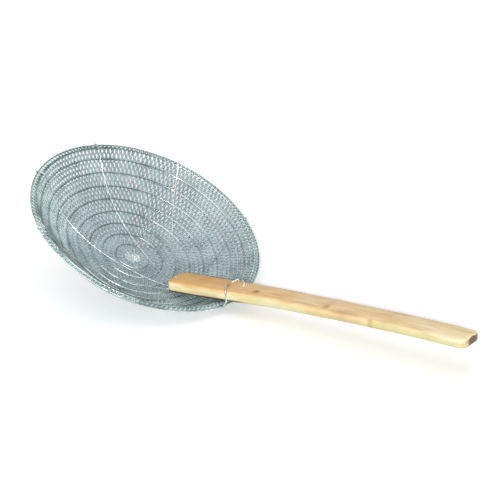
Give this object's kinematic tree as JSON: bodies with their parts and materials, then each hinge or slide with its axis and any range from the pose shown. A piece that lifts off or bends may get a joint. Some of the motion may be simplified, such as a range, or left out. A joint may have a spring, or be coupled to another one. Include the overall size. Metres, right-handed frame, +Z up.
{
  "type": "wire skimmer",
  "caption": "Round shallow wire-net skimmer bowl with a double hoop rim, ring and rib wires, on a flat bamboo handle, for lifting and draining food.",
  "frame": {"origin": "on the table under the middle of the whole skimmer, as it stands balanced on the side of its bowl", "axes": "+X along the handle from the bowl to the tip, +Z up, +Y to the left of the handle as seen from the bowl towards the tip"},
  "size_m": [0.5986, 0.304, 0.1514],
  "materials": {
    "bamboo": "split bamboo, lightly varnished",
    "hoop_wire": "galvanised, satin",
    "net_wire": "galvanised, dull",
    "ring_wire": "galvanised, dull",
    "bright_wire": "galvanised, bright"
  },
  "bodies": {
    "root": {"handle": "bamboo", "outer_hoop": "hoop_wire", "inner_hoop": "hoop_wire", "net": "net_wire", "ring_1": "ring_wire", "ring_2": "ring_wire", "ring_3": "ring_wire", "ring_4": "ring_wire", "ring_5": "ring_wire", "ring_6": "ring_wire", "ring_7": "ring_wire", "ring_8": "ring_wire", "eye_ring": "bright_wire", "rim_lashing": "net_wire", "rib_1": "bright_wire", "rib_2": "bright_wire", "rib_3": "bright_wire", "rib_4": "bright_wire", "rib_5": "bright_wire", "rib_6": "bright_wire", "rim_tie_1": "bright_wire", "rim_tie_2": "bright_wire", "nose_tie": "bright_wire"}
  },
  "joints": []
}
